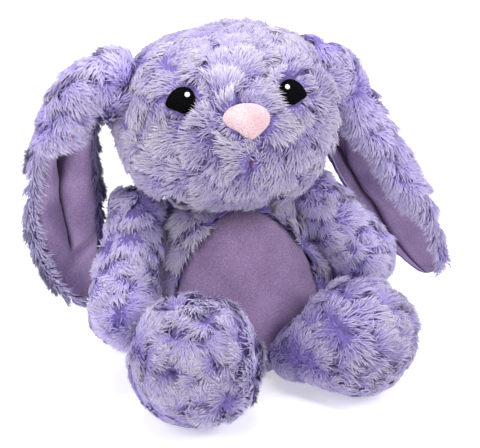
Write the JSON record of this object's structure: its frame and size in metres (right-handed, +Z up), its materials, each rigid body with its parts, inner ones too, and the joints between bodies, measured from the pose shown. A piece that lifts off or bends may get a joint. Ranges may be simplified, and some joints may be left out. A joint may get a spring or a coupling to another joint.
{
  "type": "stuffed bunny rabbit",
  "caption": "Sitting lavender plush rabbit with long drooping velour-lined ears, a smooth belly patch, round feet and embroidered eyes.",
  "frame": {"origin": "middle of the flat seat, on the surface that the rabbit sits on", "axes": "+Z up, the face looks along -Y, +X towards the rabbit's left"},
  "size_m": [0.3251, 0.2528, 0.253],
  "materials": {
    "plush": "swirled lavender plush with a pile about 12 mm long",
    "velour": "short smooth mauve velour with a faint sparkle",
    "stuffing": "loose polyester fibre",
    "nose_velour": "short pale pink velour",
    "eye_thread": "black satin stitch embroidery",
    "white_thread": "white sewing thread",
    "mouth_thread": "dark pink stitch",
    "pouch_cloth": "thin woven pouch cloth",
    "beans": "small plastic beans"
  },
  "bodies": {
    "torso": {"body_front_left": "plush", "body_front_right": "plush", "body_back_left": "plush", "body_back_right": "plush", "belly_patch": "velour", "seat_panel": "plush", "bean_pouch": "pouch_cloth", "bean_fill": "beans", "body_stuffing": "stuffing", "tail_skin": "plush", "tail_stuffing": "stuffing", "neck_thread": "white_thread"},
    "neck": {"neck_collar": "plush"},
    "head": {"head_left_panel": "plush", "head_right_panel": "plush", "head_gusset": "plush", "head_stuffing": "stuffing", "nose": "nose_velour", "eye_left": "eye_thread", "eye_right": "eye_thread", "eye_glint_left": "white_thread", "eye_glint_right": "white_thread", "mouth_stitch": "mouth_thread"},
    "ear_left": {"ear_left_back": "plush", "ear_left_lining": "velour"},
    "ear_right": {"ear_right_back": "plush", "ear_right_lining": "velour"},
    "arm_left": {"arm_left_front": "plush", "arm_left_back": "plush", "arm_left_stuffing": "stuffing"},
    "arm_right": {"arm_right_front": "plush", "arm_right_back": "plush", "arm_right_stuffing": "stuffing"},
    "leg_left": {"leg_left_tube": "plush", "foot_left_sole": "plush", "leg_left_stuffing": "stuffing"},
    "leg_right": {"leg_right_tube": "plush", "foot_right_sole": "plush", "leg_right_stuffing": "stuffing"}
  },
  "joints": [
    {"name": "neck_turn", "type": "hinge", "parent": "torso", "child": "neck", "pos_m": [-0.002, -0.002, 0.128], "axis": [0, 0, 1], "range_deg": [-25, 10], "stiffness_Nm_per_rad": 0.6},
    {"name": "neck_nod", "type": "hinge", "parent": "neck", "child": "head", "pos_m": [-0.002, -0.002, 0.128], "axis": [1, 0, 0], "range_deg": [-10, 12], "stiffness_Nm_per_rad": 1.5},
    {"name": "ear_left_lift", "type": "hinge", "parent": "head", "child": "ear_left", "pos_m": [0.072, 0.002, 0.226], "axis": [0, -1, 0], "range_deg": [0, 60], "stiffness_Nm_per_rad": 0.08},
    {"name": "ear_right_lift", "type": "hinge", "parent": "head", "child": "ear_right", "pos_m": [-0.085, 0.002, 0.225], "axis": [0, 1, 0], "range_deg": [0, 60], "stiffness_Nm_per_rad": 0.08},
    {"name": "arm_left_swing", "type": "hinge", "parent": "torso", "child": "arm_left", "pos_m": [0.067, -0.006, 0.119], "axis": [-1, 0, 0], "range_deg": [0, 60], "stiffness_Nm_per_rad": 0.15},
    {"name": "arm_right_swing", "type": "hinge", "parent": "torso", "child": "arm_right", "pos_m": [-0.073, -0.009, 0.119], "axis": [-1, 0, 0], "range_deg": [0, 60], "stiffness_Nm_per_rad": 0.15},
    {"name": "leg_left_swing", "type": "hinge", "parent": "torso", "child": "leg_left", "pos_m": [0.033, -0.078, 0.026], "axis": [-1, 0, 0], "range_deg": [-45, 25], "stiffness_Nm_per_rad": 0.5},
    {"name": "leg_right_swing", "type": "hinge", "parent": "torso", "child": "leg_right", "pos_m": [-0.037, -0.076, 0.027], "axis": [-1, 0, 0], "range_deg": [-45, 25], "stiffness_Nm_per_rad": 0.5}
  ]
}
